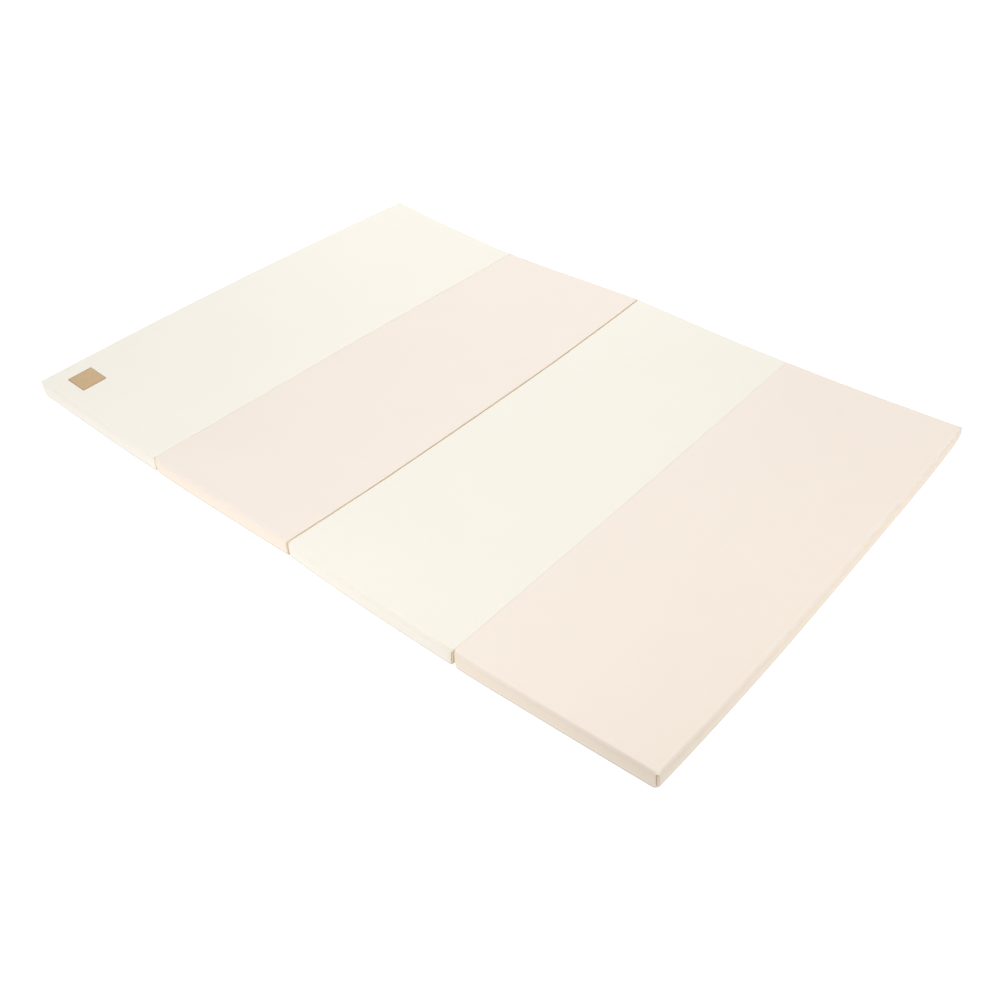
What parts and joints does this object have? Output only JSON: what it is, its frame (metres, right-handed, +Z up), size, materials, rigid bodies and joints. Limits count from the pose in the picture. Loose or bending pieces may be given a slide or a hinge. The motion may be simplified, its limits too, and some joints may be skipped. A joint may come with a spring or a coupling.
{
  "type": "folding play mat",
  "caption": "Large folding floor mat for babies, opened out: soft padded panels in ivory and pale pink faux leather, joined by thin fold webs, with a leather corner patch.",
  "frame": {"origin": "on the floor, under the middle of the opened mat", "axes": "+X across the panels from panel 1, with the corner patch, to panel 4; +Y along the folds from the near side to the far side; +Z up"},
  "size_m": [2.0072, 1.4058, 0.0775],
  "materials": {
    "ivory_cover": "soft matt polyurethane faux leather, ivory, with a very fine grain",
    "pink_cover": "soft matt polyurethane faux leather, pale blush pink, with a very fine grain",
    "tan_label": "smooth tan leather patch with darker cut edges"
  },
  "bodies": {
    "root": {"panel_1_ivory": "ivory_cover", "panel_2_pink": "pink_cover", "panel_3_ivory": "ivory_cover", "panel_4_pink": "pink_cover", "fold_web_1_2": "ivory_cover", "fold_web_2_3": "pink_cover", "fold_web_3_4": "ivory_cover", "corner_label": "tan_label"}
  },
  "joints": []
}
